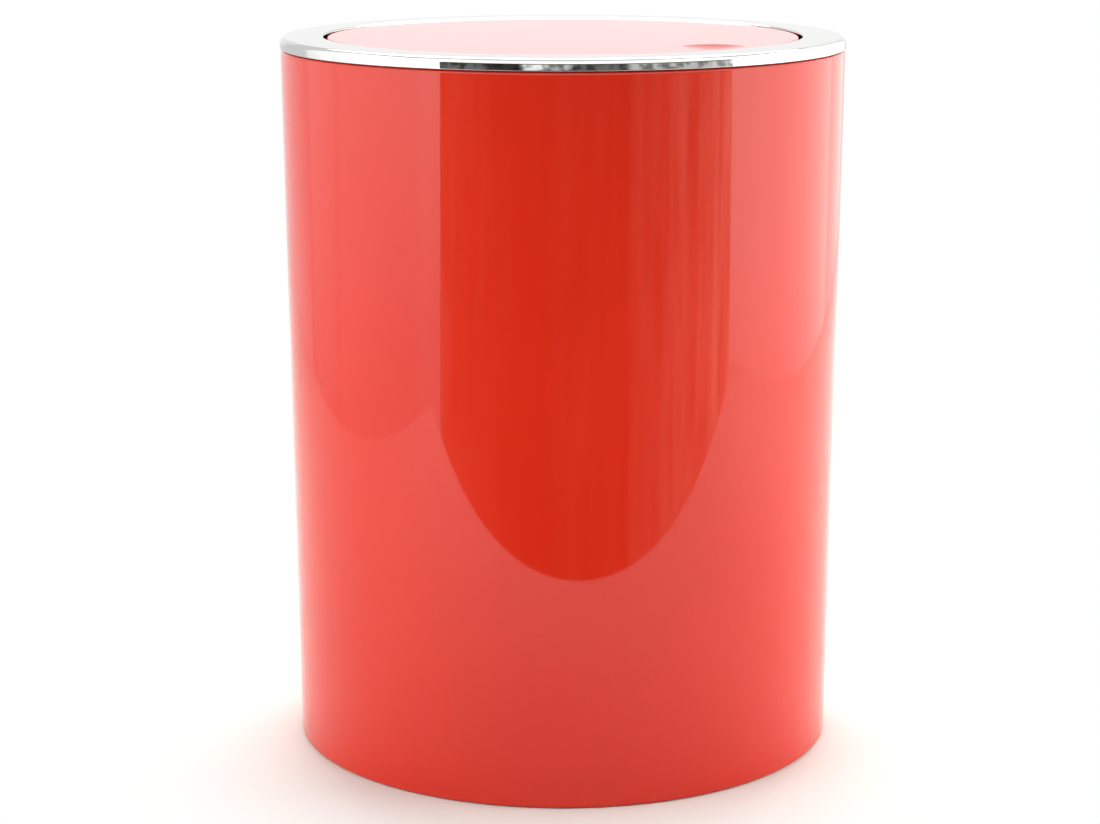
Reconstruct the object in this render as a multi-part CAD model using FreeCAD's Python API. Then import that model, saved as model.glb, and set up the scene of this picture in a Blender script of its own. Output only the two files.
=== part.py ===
import FreeCAD
import Part
import math
import os

# A round swing-lid bin: a tapered bucket, a lift-off frame with a plated ring, and a
# weighted lid that swings on two pins. Millimetres, +Z up, origin on the floor under the
# middle of the bucket. The finger dimple faces -Y and the pins lie along X.

# Bucket
bucket_height = 230.0            # floor to the top of the rim
bucket_top_diameter = 184.0      # outside, at the rim
bucket_draft_angle = 0.65        # degrees that the wall leans out
bucket_wall = 2.0
bucket_floor_thickness = 2.4
bucket_floor_raise = 3.0         # hollow under the floor, inside the foot ring
bucket_foot_width = 5.0
bucket_foot_edge_radius = 1.2
bucket_foot_inner_radius = 0.8
bucket_rim_edge_radius = 0.8
bucket_floor_corner_radius = 6.0
bucket_gate_diameter = 9.0       # dished moulding gate in the middle of the underside
bucket_gate_depth = 0.7

# Plated ring
ring_overhang = 0.2              # past the bucket's rim, all round
ring_height = 4.0                # bucket rim to the ring's top face
ring_band_width = 14.2           # outer edge to the edge of the mouth
ring_shell = 1.3
ring_outer_edge_radius = 2.0
ring_mouth_edge_radius = 0.6
ring_hem_radius = 0.2
ring_lip_depth = 3.6             # the lip that turns down round the mouth
ring_joint_gap = 0.3             # shadow line between ring and rim

# Lift-off frame under the ring
frame_ring_clearance = 0.2
frame_flange_thickness = 1.4
frame_wall = 1.6                 # wall round the mouth
frame_wall_depth = 17.0          # below the flange
frame_plug_wall = 1.5            # wall that plugs into the bucket
frame_plug_depth = 13.0
frame_plug_clearance = 0.5
frame_corner_radius = 0.6
frame_bead_width = 1.6           # seat that carries the ring's top
frame_grip_rib_count = 12
frame_grip_rib_radius = 0.9
frame_grip_rib_clearance = 0.1
frame_channel_rib_count = 16
frame_channel_rib_thickness = 1.2
frame_channel_rib_drop = 8.0
frame_snap_count = 6             # wedges that the ring's lip snaps past
frame_snap_width = 7.0
frame_snap_height = 2.0
frame_snap_reach = 0.9
frame_snap_gap = 0.1             # below the lip

# Pivots: a pin each side, pressed into the lid and snapped into the frame from below
pin_diameter = 4.0
pin_chamfer = 0.4
pin_seat_depth = 14.0            # length held in the lid
pin_overhang = 0.6               # past the far end of the bearing
pin_running_clearance = 0.05
pin_press_clearance = 0.01
pin_end_clearance = 0.2
bearing_wall = 1.6
bearing_reach = 2.5              # behind the frame's wall
bearing_lip_gap = 0.4            # below the ring's lip
bearing_side_play = 0.5          # between the bearing's face and the lid
bearing_throat_share = 0.84      # of the pin's diameter
bearing_lead_in_width = 7.0
bearing_lead_in_height = 3.5

# Stops that end the swing
swing_limit = 80.0               # degrees each way
swing_stop_margin = 4.0          # degrees from the limit to the stop itself
stop_lug_width = 3.0
stop_lug_length = 2.8
stop_lug_reach = 1.6             # past the lid's edge
stop_lug_bearing_gap = 0.8
stop_bar_overlap = 1.0           # bar past the lug's outer end
stop_bar_height = 2.0

# Swing lid
lid_sink = 0.4                   # top face below the ring's top
lid_swing_gap = 0.8              # least gap to the mouth as the lid swings
lid_thickness = 2.0
lid_edge_radius = 0.7
lid_skirt = 1.8
lid_skirt_depth = 8.0
lid_ear_width = 18.0
lid_ear_drop = 8.5               # ear below the pivot
lid_boss_wall = 1.6
lid_web_thickness = 2.4
lid_rib_count = 8
lid_rib_thickness = 1.4
lid_rib_depth = 4.0
lid_rib_gusset_reach = 30.0      # gusset's foot, out from the cup
lid_rib_cup_step = 4.0           # gusset above the bottom of the cup

# Finger dimple in the lid
dimple_diameter = 20.0
dimple_depth = 1.05
dimple_edge_distance = 2.0       # to the lid's edge
dimple_rim_radius = 1.5          # softens the rim

# Counterweight and the cup that holds it
weight_diameter = 40.0
weight_thickness = 6.0
weight_chamfer = 0.6
weight_drop = 8.0                # weight's top face below the pivot
weight_clearance = 0.2
cup_wall = 1.8
cup_stop_count = 4
cup_stop_length = 3.5
cup_stop_thickness = 1.4
cap_flange_thickness = 1.6
cap_spigot_wall = 2.0
cap_spigot_height = 2.0
cap_spigot_clearance = 0.1
cap_edge_radius = 0.5
cap_notch_width = 8.0            # for prising the cap out
cap_notch_depth = 1.0

overrun = 1.0                    # how far a cutter passes the face that it cuts

# Places worked out from the sizes above
up = FreeCAD.Vector(0, 0, 1)
origin = FreeCAD.Vector(0, 0, 0)

bucket_top_radius = bucket_top_diameter / 2
bucket_taper = math.tan(math.radians(bucket_draft_angle))
bucket_base_radius = bucket_top_radius - bucket_taper * bucket_height
bucket_floor_top = bucket_floor_raise + bucket_floor_thickness

ring_top = bucket_height + ring_height
ring_outer_radius = bucket_top_radius + ring_overhang
ring_underside = ring_top - ring_shell
mouth_radius = ring_outer_radius - ring_band_width
ring_lip_bottom = ring_top - ring_lip_depth

frame_inner_radius = mouth_radius + ring_shell + frame_ring_clearance
frame_wall_outer_radius = frame_inner_radius + frame_wall
frame_flange_radius = ring_outer_radius - ring_shell - frame_ring_clearance
frame_flange_top = bucket_height + frame_flange_thickness
frame_wall_bottom = bucket_height - frame_wall_depth
frame_plug_bottom = bucket_height - frame_plug_depth


def bucket_outer_radius_at(height):
    return bucket_base_radius + bucket_taper * height


def bucket_inner_radius_at(height):
    return bucket_outer_radius_at(height) - bucket_wall


bucket_throat_radius = bucket_inner_radius_at(frame_plug_bottom)
frame_plug_outer_radius = bucket_throat_radius - frame_plug_clearance
frame_plug_inner_radius = frame_plug_outer_radius - frame_plug_wall
frame_channel_middle = (frame_wall_outer_radius + frame_plug_inner_radius) / 2

pin_radius = pin_diameter / 2
bearing_bore_radius = pin_radius + pin_running_clearance
bearing_radius = bearing_bore_radius + bearing_wall
pivot_height = ring_lip_bottom - bearing_lip_gap - bearing_radius

lid_top = ring_top - lid_sink
lid_underside = lid_top - lid_thickness
lid_radius = math.sqrt((mouth_radius - lid_swing_gap) ** 2 - (lid_top - pivot_height) ** 2)
lid_skirt_inner_radius = lid_radius - lid_skirt
lid_skirt_bottom = lid_top - lid_skirt_depth
lid_ear_bottom = pivot_height - lid_ear_drop
lid_bore_radius = pin_radius + pin_press_clearance
lid_boss_radius = lid_bore_radius + lid_boss_wall
lid_bore_end = lid_radius - pin_seat_depth
lid_boss_end = lid_bore_end - lid_boss_wall

bearing_face = lid_radius + bearing_side_play
bearing_end = frame_wall_outer_radius + bearing_reach

stop_lug_inner = bearing_radius + stop_lug_bearing_gap
stop_lug_outer = stop_lug_inner + stop_lug_length
stop_angle = math.radians(swing_limit + swing_stop_margin)
stop_bar_bottom = (pivot_height + stop_lug_width / 2 * math.sin(stop_angle)
                   - stop_lug_inner * math.cos(stop_angle))
stop_bar_half_width = stop_lug_outer + stop_bar_overlap

weight_radius = weight_diameter / 2
weight_top = pivot_height - weight_drop
weight_bottom = weight_top - weight_thickness
cup_bore_radius = weight_radius + weight_clearance
cup_outer_radius = cup_bore_radius + cup_wall
cup_bottom = weight_bottom - cap_spigot_height
cap_bottom = cup_bottom - cap_flange_thickness

dimple_radius = dimple_diameter / 2
dimple_place = lid_radius - dimple_edge_distance - dimple_radius
dimple_ball_radius = (dimple_radius ** 2 + dimple_depth ** 2) / (2 * dimple_depth)


def rounded_outline(corners):
    """A closed wire in the XZ plane through (radius, height, rounding) corners.

    A rounding is a tangent arc, held to what the two sides beside it leave room for."""
    places = [FreeCAD.Vector(radius, 0, height) for radius, height, rounding in corners]
    side_share = 0.48
    edges = []
    ends = []
    for index, (radius, height, rounding) in enumerate(corners):
        corner = places[index]
        back = places[index - 1] - corner
        ahead = places[(index + 1) % len(places)] - corner
        half_angle = back.getAngle(ahead) / 2
        room = side_share * min(back.Length, ahead.Length)
        reach = min(rounding / math.tan(half_angle), room)
        back.normalize()
        ahead.normalize()
        start = corner + back * reach
        end = corner + ahead * reach
        ends.append((start, end))
        if reach > 0:
            inward = back + ahead
            inward.normalize()
            arc_radius = reach * math.tan(half_angle)
            middle = corner + inward * (arc_radius / math.sin(half_angle) - arc_radius)
            edges.append(Part.Arc(start, middle, end).toShape())
    for index, (start, end) in enumerate(ends):
        next_start = ends[(index + 1) % len(ends)][0]
        if end.distanceToPoint(next_start) > Part.Precision.confusion():
            edges.append(Part.LineSegment(end, next_start).toShape())
    return Part.Wire(Part.__sortEdges__(edges))


def turned(corners):
    """The solid of revolution about Z of an outline that runs anticlockwise, seam off the details."""
    seam_angle = 8.0
    face = Part.Face(rounded_outline(corners))
    face.rotate(origin, up, seam_angle)
    return face.revolve(origin, up, 360)


def block(low, high):
    """A box between two corners."""
    size = [b - a for a, b in zip(low, high)]
    return Part.makeBox(*size, FreeCAD.Vector(*low))


def rod(radius, start, end, height):
    """A cylinder along X between two places, at a height on the middle plane."""
    return Part.makeCylinder(radius, end - start, FreeCAD.Vector(start, 0, height),
                             FreeCAD.Vector(1, 0, 0))


def plate(outline, thickness):
    """A flat plate from (radius, height) corners, centred on the XZ plane."""
    wire = Part.makePolygon([FreeCAD.Vector(radius, -thickness / 2, height)
                             for radius, height in outline + outline[:1]])
    return Part.Face(wire).extrude(FreeCAD.Vector(0, thickness, 0))


def around(shape, count, first_angle=0.0):
    """Copies of a shape, evenly spaced about Z."""
    copies = []
    for index in range(count):
        copy = shape.copy()
        copy.rotate(origin, up, first_angle + index * 360 / count)
        copies.append(copy)
    return copies


def both_sides(shape):
    """A shape made on the +X side, and its twin on the -X side."""
    return around(shape, 2)


def make_bucket():
    foot_inner_radius = bucket_base_radius - bucket_foot_width
    gate_radius = bucket_gate_diameter / 2
    return turned([
        (foot_inner_radius, 0, bucket_foot_inner_radius),
        (bucket_base_radius, 0, bucket_foot_edge_radius),
        (bucket_top_radius, bucket_height, bucket_rim_edge_radius),
        (bucket_top_radius - bucket_wall, bucket_height, 0),
        (bucket_inner_radius_at(bucket_floor_top), bucket_floor_top, bucket_floor_corner_radius),
        (0, bucket_floor_top, 0),
        (0, bucket_floor_raise + bucket_gate_depth, 0),
        (gate_radius, bucket_floor_raise + bucket_gate_depth, 0),
        (gate_radius, bucket_floor_raise, 0),
        (foot_inner_radius, bucket_floor_raise, bucket_foot_inner_radius),
    ])


def make_chrome_ring():
    hem = bucket_height + ring_joint_gap
    shell_outer = ring_outer_radius - ring_shell
    lip_outer = mouth_radius + ring_shell
    return turned([
        (ring_outer_radius, hem, ring_hem_radius),
        (ring_outer_radius, ring_top, ring_outer_edge_radius),
        (mouth_radius, ring_top, ring_mouth_edge_radius),
        (mouth_radius, ring_lip_bottom, ring_hem_radius),
        (lip_outer, ring_lip_bottom, ring_hem_radius),
        (lip_outer, ring_underside, 0),
        (shell_outer, ring_underside, ring_outer_edge_radius - ring_shell),
        (shell_outer, hem, ring_hem_radius),
    ])


def make_frame_bearing():
    """The boss and the stop bar of one pivot, on the +X side."""
    boss = rod(bearing_radius, bearing_face, bearing_end, pivot_height)
    stop_bar = block(
        (bearing_face, -stop_bar_half_width, stop_bar_bottom),
        (frame_inner_radius + frame_wall / 2, stop_bar_half_width, stop_bar_bottom + stop_bar_height))
    return boss.fuse(stop_bar)


def make_bearing_bore():
    return rod(bearing_bore_radius, bearing_face - overrun, bearing_end + overrun, pivot_height)


def make_bearing_throat():
    """The slot below a bore, narrower than the pin, with a lead-in at its foot."""
    start = bearing_face - overrun
    end = bearing_end + overrun
    throat = bearing_throat_share * pin_radius
    lead_in = bearing_lead_in_width / 2
    lead_in_top = frame_wall_bottom + bearing_lead_in_height
    outline = [(-lead_in, frame_wall_bottom - overrun), (lead_in, frame_wall_bottom - overrun),
               (throat, lead_in_top), (throat, pivot_height),
               (-throat, pivot_height), (-throat, lead_in_top)]
    wire = Part.makePolygon([FreeCAD.Vector(start, across, height)
                             for across, height in outline + outline[:1]])
    return Part.Face(wire).extrude(FreeCAD.Vector(end - start, 0, 0))


def make_snap_wedge():
    """One wedge on the frame's wall, flat on top under the ring's lip and sloped below."""
    top = ring_lip_bottom - frame_snap_gap
    root = frame_inner_radius + frame_wall / 2
    return plate([(root, top), (frame_inner_radius - frame_snap_reach, top),
                  (frame_inner_radius, top - frame_snap_height), (root, top - frame_snap_height)],
                 frame_snap_width)


def make_lid_frame():
    bead_inner = frame_channel_middle - frame_bead_width / 2
    bead_outer = frame_channel_middle + frame_bead_width / 2
    body = turned([
        (frame_wall_outer_radius, frame_wall_bottom, frame_corner_radius),
        (frame_wall_outer_radius, bucket_height, 0),
        (frame_plug_inner_radius, bucket_height, 0),
        (frame_plug_inner_radius, frame_plug_bottom, frame_corner_radius),
        (frame_plug_outer_radius, frame_plug_bottom, frame_corner_radius),
        (frame_plug_outer_radius, bucket_height, 0),
        (frame_flange_radius, bucket_height, 0),
        (frame_flange_radius, frame_flange_top, 0),
        (bead_outer, frame_flange_top, 0),
        (bead_outer, ring_underside, 0),
        (bead_inner, ring_underside, 0),
        (bead_inner, frame_flange_top, 0),
        (frame_inner_radius, frame_flange_top, 0),
        (frame_inner_radius, frame_wall_bottom, frame_corner_radius),
    ])
    rib_half_step = 180 / frame_channel_rib_count
    channel_rib = block(
        (frame_wall_outer_radius - frame_wall / 2, -frame_channel_rib_thickness / 2,
         bucket_height - frame_channel_rib_drop),
        (frame_plug_inner_radius + frame_plug_wall / 2, frame_channel_rib_thickness / 2,
         bucket_height + frame_flange_thickness / 2))
    grip_rib_middle = bucket_throat_radius - frame_grip_rib_clearance - frame_grip_rib_radius
    grip_rib = Part.makeCylinder(frame_grip_rib_radius, frame_plug_depth - frame_corner_radius,
                                 FreeCAD.Vector(grip_rib_middle, 0,
                                                frame_plug_bottom + frame_corner_radius))
    holes = both_sides(make_bearing_bore()) + both_sides(make_bearing_throat())
    solids = [bearing.cut(holes) for bearing in both_sides(make_frame_bearing())]
    solids += around(channel_rib, frame_channel_rib_count, rib_half_step)
    solids += around(grip_rib, frame_grip_rib_count)
    solids += around(make_snap_wedge(), frame_snap_count, 180 / frame_snap_count)
    return body.cut(holes).fuse(solids).removeSplitter()


def make_lid_pivot():
    """The ear, pin boss, web and stop lug of one side of the lid."""
    ear_ring = Part.makeCylinder(lid_radius, lid_underside - lid_ear_bottom,
                                 FreeCAD.Vector(0, 0, lid_ear_bottom))
    ear_ring = ear_ring.cut(Part.makeCylinder(lid_skirt_inner_radius, lid_underside - lid_ear_bottom,
                                              FreeCAD.Vector(0, 0, lid_ear_bottom)))
    ear = ear_ring.common(block((0, -lid_ear_width / 2, lid_ear_bottom),
                                (lid_radius, lid_ear_width / 2, lid_underside)))
    seat_middle = lid_radius - lid_skirt / 2
    boss = rod(lid_boss_radius, lid_boss_end, seat_middle, pivot_height)
    web = block((lid_boss_end, -lid_web_thickness / 2, pivot_height),
                (seat_middle, lid_web_thickness / 2, lid_underside + lid_thickness / 2))
    lug = block((seat_middle, -stop_lug_width / 2, pivot_height - stop_lug_outer),
                (lid_radius + stop_lug_reach, stop_lug_width / 2, pivot_height - stop_lug_inner))
    return ear.fuse([boss, web, lug])


def make_lid_rib():
    """One radial rib, with a gusset that braces the weight's cup."""
    root = lid_underside + lid_thickness / 2
    foot = lid_underside - lid_rib_depth
    inner = cup_outer_radius - cup_wall / 2
    outer = lid_skirt_inner_radius + lid_skirt / 2
    return plate([(inner, root), (outer, root), (outer, foot),
                  (cup_outer_radius + lid_rib_gusset_reach, foot),
                  (inner, cup_bottom + lid_rib_cup_step)], lid_rib_thickness)


def make_weight_cup():
    """The round cup under the lid, open at the bottom, with the ribs that stop the weight."""
    root = lid_underside + lid_thickness / 2
    foot = FreeCAD.Vector(0, 0, cup_bottom)
    cup = Part.makeCylinder(cup_outer_radius, root - cup_bottom, foot)
    cup = cup.cut(Part.makeCylinder(cup_bore_radius, root - cup_bottom, foot))
    stop = block((cup_bore_radius - cup_stop_length, -cup_stop_thickness / 2,
                  weight_top + weight_clearance),
                 (cup_bore_radius + cup_wall / 2, cup_stop_thickness / 2, root))
    return cup.fuse(around(stop, cup_stop_count, 180 / cup_stop_count))


def make_dimple_ball(extra):
    """The ball that the dimple is part of, larger by a wall's thickness."""
    middle = FreeCAD.Vector(0, -dimple_place, lid_top - dimple_depth + dimple_ball_radius)
    return Part.makeSphere(dimple_ball_radius + extra, middle)


def make_swing_lid():
    shell = turned([
        (0, lid_underside, 0),
        (lid_skirt_inner_radius, lid_underside, lid_edge_radius),
        (lid_skirt_inner_radius, lid_skirt_bottom, lid_edge_radius),
        (lid_radius, lid_skirt_bottom, lid_edge_radius),
        (lid_radius, lid_top, lid_edge_radius),
        (0, lid_top, 0),
    ])
    under_dimple = make_dimple_ball(lid_thickness).common(
        block((-lid_radius, -lid_skirt_inner_radius, cup_bottom),
              (lid_radius, 0, lid_underside + lid_thickness / 2)))
    solids = both_sides(make_lid_pivot())
    solids += around(make_lid_rib(), lid_rib_count, 180 / lid_rib_count)
    solids += [make_weight_cup(), under_dimple]
    bore = rod(lid_bore_radius, lid_bore_end, lid_radius + overrun, pivot_height)
    lid = shell.fuse(solids).cut(both_sides(bore) + [make_dimple_ball(0)]).removeSplitter()
    rims = [edge for edge in lid.Edges
            if not edge.Degenerated and isinstance(edge.Curve, Part.Circle)
            and abs(edge.Curve.Radius - dimple_radius) < Part.Precision.approximation()]
    return lid.makeFillet(dimple_rim_radius, rims)


def make_counterweight():
    return turned([
        (0, weight_bottom, 0),
        (weight_radius - weight_chamfer, weight_bottom, 0),
        (weight_radius, weight_bottom + weight_chamfer, 0),
        (weight_radius, weight_top - weight_chamfer, 0),
        (weight_radius - weight_chamfer, weight_top, 0),
        (0, weight_top, 0),
    ])


def make_weight_cap():
    spigot_outer = cup_bore_radius - cap_spigot_clearance
    spigot_inner = spigot_outer - cap_spigot_wall
    cap = turned([
        (0, cap_bottom, 0),
        (cup_outer_radius, cap_bottom, cap_edge_radius),
        (cup_outer_radius, cup_bottom, 0),
        (spigot_outer, cup_bottom, 0),
        (spigot_outer, weight_bottom, cap_edge_radius),
        (spigot_inner, weight_bottom, cap_edge_radius),
        (spigot_inner, cup_bottom, 0),
        (0, cup_bottom, 0),
    ])
    notch = block((-cap_notch_width / 2, -cup_outer_radius - overrun, cup_bottom - cap_notch_depth),
                  (cap_notch_width / 2, cap_notch_depth - cup_outer_radius, cup_bottom))
    return cap.cut(notch)


def make_pivot_pin():
    """A plain pin with chamfered ends, on the +X side."""
    start = lid_bore_end + pin_end_clearance
    end = bearing_end + pin_overhang
    outline = [(start, 0), (end, 0), (end, pin_radius - pin_chamfer),
               (end - pin_chamfer, pin_radius), (start + pin_chamfer, pin_radius),
               (start, pin_radius - pin_chamfer)]
    wire = Part.makePolygon([FreeCAD.Vector(along, 0, pivot_height + out)
                             for along, out in outline + outline[:1]])
    return Part.Face(wire).revolve(FreeCAD.Vector(0, 0, pivot_height), FreeCAD.Vector(1, 0, 0), 360)


def main():
    right_pin, left_pin = both_sides(make_pivot_pin())
    pieces = {
        "bucket": make_bucket(),
        "chrome_ring": make_chrome_ring(),
        "lid_frame": make_lid_frame(),
        "swing_lid": make_swing_lid(),
        "counterweight": make_counterweight(),
        "weight_cap": make_weight_cap(),
        "pivot_pin_left": left_pin,
        "pivot_pin_right": right_pin,
    }
    os.makedirs("parts", exist_ok=True)
    for name, shape in pieces.items():
        shape.exportStep(f"parts/{name}.step")
        print(f"{name}: {len(shape.Solids)} solid, {shape.Volume / 1000:.2f} cm3, valid {shape.isValid()}")


main()
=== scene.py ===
import bpy
import bmesh
import math
from mathutils import Matrix, Vector


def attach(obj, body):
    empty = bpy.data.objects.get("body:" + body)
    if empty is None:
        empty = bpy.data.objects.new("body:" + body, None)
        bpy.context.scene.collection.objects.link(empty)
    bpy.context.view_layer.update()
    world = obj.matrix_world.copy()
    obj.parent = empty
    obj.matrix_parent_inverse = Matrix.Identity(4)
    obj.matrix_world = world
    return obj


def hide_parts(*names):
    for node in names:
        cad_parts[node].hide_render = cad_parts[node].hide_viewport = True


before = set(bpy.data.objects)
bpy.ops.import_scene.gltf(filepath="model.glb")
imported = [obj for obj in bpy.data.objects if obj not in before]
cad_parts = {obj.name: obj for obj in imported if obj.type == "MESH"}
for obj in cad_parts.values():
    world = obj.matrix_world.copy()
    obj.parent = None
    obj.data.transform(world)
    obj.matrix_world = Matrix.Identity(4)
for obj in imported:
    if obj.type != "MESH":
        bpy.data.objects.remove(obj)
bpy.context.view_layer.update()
print("frame loaded:", ", ".join(sorted(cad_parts)))

scene = bpy.context.scene
scene.view_settings.view_transform = "Standard"


# photo view: the camera stands well to the left of the dimple
photo = {
    "azimuth": -46.0,         # degrees, 0 looks along +Y
    "distance": 0.8947,       # metres from the bin's axis
    "height": 0.3037,
    "pitch": 12.36,           # degrees down
    "focalPixels": 2720.7,
    "widthPixels": 1100,
    "middlePixel": 562.93,    # column of the optical axis
    "sensorWidth": 36.0,      # millimetres
    "nearest": 0.01,
}


def turnedBy(turn):
    return Matrix.Rotation(math.radians(turn), 4, "Z")


def fromPhoto(right, away, height):
    # a place in the camera's own plan, turned into the bin's frame
    return turnedBy(photo["azimuth"]) @ Vector((right, away, height))


def addCamera():
    lens = bpy.data.cameras.new("photoCamera")
    lens.sensor_fit = "HORIZONTAL"
    lens.sensor_width = photo["sensorWidth"]
    lens.lens = photo["focalPixels"] * lens.sensor_width / photo["widthPixels"]
    lens.shift_x = 0.5 - photo["middlePixel"] / photo["widthPixels"]
    lens.clip_start = photo["nearest"]
    camera = bpy.data.objects.new("photoCamera", lens)
    camera.location = fromPhoto(0, -photo["distance"], photo["height"])
    camera.rotation_euler = (math.radians(90 - photo["pitch"]), 0, math.radians(photo["azimuth"]))
    scene.collection.objects.link(camera)
    scene.camera = camera


addCamera()
print("camera set")


# material helpers
noiseRange = (0.3, 0.7)       # where most values of a noise lie
plasticIor = 1.5
millimetre = 0.001


def newFinish(name):
    finish = bpy.data.materials.new(name)
    finish.use_nodes = True
    shader = finish.node_tree.nodes["Principled BSDF"]
    return finish, finish.node_tree, shader


def objectPlace(tree):
    return tree.nodes.new("ShaderNodeTexCoord").outputs["Object"]


def stretched(tree, place, scale):
    node = tree.nodes.new("ShaderNodeMapping")
    node.inputs["Scale"].default_value = scale
    tree.links.new(place, node.inputs["Vector"])
    return node.outputs["Vector"]


def noise(tree, place, scale, detail=2.0, rough=0.5):
    node = tree.nodes.new("ShaderNodeTexNoise")
    node.inputs["Scale"].default_value = scale
    node.inputs["Detail"].default_value = detail
    node.inputs["Roughness"].default_value = rough
    tree.links.new(place, node.inputs["Vector"])
    return node.outputs["Fac"]


def spread(tree, value, low, high, span=noiseRange):
    node = tree.nodes.new("ShaderNodeMapRange")
    node.inputs["From Min"].default_value = span[0]
    node.inputs["From Max"].default_value = span[1]
    node.inputs["To Min"].default_value = low
    node.inputs["To Max"].default_value = high
    tree.links.new(value, node.inputs["Value"])
    return node.outputs["Result"]


def sums(tree, operation, first, second):
    node = tree.nodes.new("ShaderNodeMath")
    node.operation = operation
    for socket, value in zip(node.inputs, (first, second)):
        if isinstance(value, (int, float)):
            socket.default_value = value
        else:
            tree.links.new(value, socket)
    return node.outputs["Value"]


def ramp(tree, value, stops):
    stops = list(stops)
    node = tree.nodes.new("ShaderNodeValToRGB")
    band = node.color_ramp
    while len(band.elements) < len(stops):
        band.elements.new(0.5)
    for stop, (at, colour) in zip(band.elements, stops):
        stop.position = at
        stop.color = (*colour, 1)
    tree.links.new(value, node.inputs["Fac"])
    return node.outputs["Color"]


def tinted(tree, value, finish):
    return ramp(tree, value, zip(noiseRange, (finish["deep"], finish["light"])))


def scaled(tree, colour, share):
    node = tree.nodes.new("ShaderNodeVectorMath")
    node.operation = "SCALE"
    tree.links.new(colour, node.inputs["Vector"])
    tree.links.new(share, node.inputs["Scale"])
    return node.outputs["Vector"]


def layered(tree, under, over, share):
    node = tree.nodes.new("ShaderNodeMix")
    node.data_type = "RGBA"
    tree.links.new(share, node.inputs["Factor"])
    tree.links.new(under, node.inputs["A"])
    tree.links.new(over, node.inputs["B"])
    return node.outputs["Result"]


def axes(tree, place):
    node = tree.nodes.new("ShaderNodeSeparateXYZ")
    tree.links.new(place, node.inputs["Vector"])
    return node.outputs


def fromAxis(tree, place):
    # distance from the bin's axis
    flat = tree.nodes.new("ShaderNodeVectorMath")
    flat.operation = "LENGTH"
    tree.links.new(stretched(tree, place, (1, 1, 0)), flat.inputs[0])
    return flat.outputs["Value"]


def bump(tree, shader, height, strength, distance, under=None):
    node = tree.nodes.new("ShaderNodeBump")
    node.inputs["Strength"].default_value = strength
    node.inputs["Distance"].default_value = distance
    tree.links.new(height, node.inputs["Height"])
    if under is not None:
        tree.links.new(under, node.inputs["Normal"])
    tree.links.new(node.outputs["Normal"], shader.inputs["Normal"])
    return node.outputs["Normal"]


# polished red plastic of the bucket and the lid
redGloss = {
    "deep": (0.655, 0.0215, 0.0062),
    "light": (0.685, 0.0240, 0.0072),
    "tintSize": 14.0,
    "rough": (0.015, 0.045),
    "polishSize": 160.0,
    "satinRough": 0.30,       # added inside the bucket and under the lid
    "satinWall": (0.0013, 0.0018),     # metres in from the bucket's outer face
    "satinLid": (0.0030, 0.0022),      # metres below the lid's top
    "waveSize": 22.0,         # slow waves left by the mould
    "waveStrength": 0.3,
    "waveDepth": 0.00010,
    "peelSize": 900.0,        # very fine orange peel
    "peelStrength": 0.25,
    "peelDepth": 0.000004,
    "scuffHeight": 0.0016,    # where the foot rubs on the floor
    "scuffSize": 700.0,
    "scuffRough": 0.4,
    "scuffSpan": (0.45, 0.6),
}


def makeRedGloss(name, isHidden):
    # isHidden gives 1 on the faces that the mould left satin
    look = redGloss
    finish, tree, shader = newFinish(name)
    place = objectPlace(tree)
    colour = tinted(tree, noise(tree, place, look["tintSize"], detail=3.0), look)
    tree.links.new(colour, shader.inputs["Base Color"])
    polish = spread(tree, noise(tree, place, look["polishSize"], detail=4.0, rough=0.6), *look["rough"])
    satin = sums(tree, "MULTIPLY", isHidden(tree, place), look["satinRough"])
    foot = spread(tree, axes(tree, place)["Z"], 1.0, 0.0, (0.0, look["scuffHeight"]))
    rubbed = noise(tree, place, look["scuffSize"], detail=5.0, rough=0.7)
    scuff = sums(tree, "MULTIPLY", foot, spread(tree, rubbed, 0.0, look["scuffRough"], look["scuffSpan"]))
    rough = sums(tree, "ADD", sums(tree, "ADD", polish, satin), scuff)
    tree.links.new(rough, shader.inputs["Roughness"])
    shader.inputs["IOR"].default_value = plasticIor
    slow = noise(tree, place, look["waveSize"], detail=1.0)
    waves = bump(tree, shader, slow, look["waveStrength"], look["waveDepth"])
    peel = noise(tree, place, look["peelSize"], detail=1.0)
    bump(tree, shader, peel, look["peelStrength"], look["peelDepth"], waves)
    return finish


def insideBucket(tree, place):
    height = axes(tree, place)["Z"]
    wall = sums(tree, "MULTIPLY_ADD", height, bucketSlope())
    wall.node.inputs[2].default_value = bucketBase() * millimetre
    return spread(tree, sums(tree, "SUBTRACT", wall, fromAxis(tree, place)), 0.0, 1.0, redGloss["satinWall"])


def underLid(tree, place):
    depths = [lidShape["top"] * millimetre - depth for depth in redGloss["satinLid"]]
    return spread(tree, axes(tree, place)["Z"], 1.0, 0.0, depths)


# finely grained red plastic of the frame and the weight's cap
redGrain = {
    "deep": (0.56, 0.0205, 0.0085),
    "light": (0.62, 0.0245, 0.0105),
    "tintSize": 40.0,
    "rough": (0.38, 0.52),
    "grainSize": 1400.0,
    "grainStrength": 0.5,
    "grainDepth": 0.00006,
}


def makeRedGrain():
    look = redGrain
    finish, tree, shader = newFinish("redGrain")
    place = objectPlace(tree)
    colour = tinted(tree, noise(tree, place, look["tintSize"], detail=3.0), look)
    tree.links.new(colour, shader.inputs["Base Color"])
    grain = noise(tree, place, look["grainSize"])
    tree.links.new(spread(tree, grain, *look["rough"]), shader.inputs["Roughness"])
    shader.inputs["IOR"].default_value = plasticIor
    bump(tree, shader, grain, look["grainStrength"], look["grainDepth"])
    return finish


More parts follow.
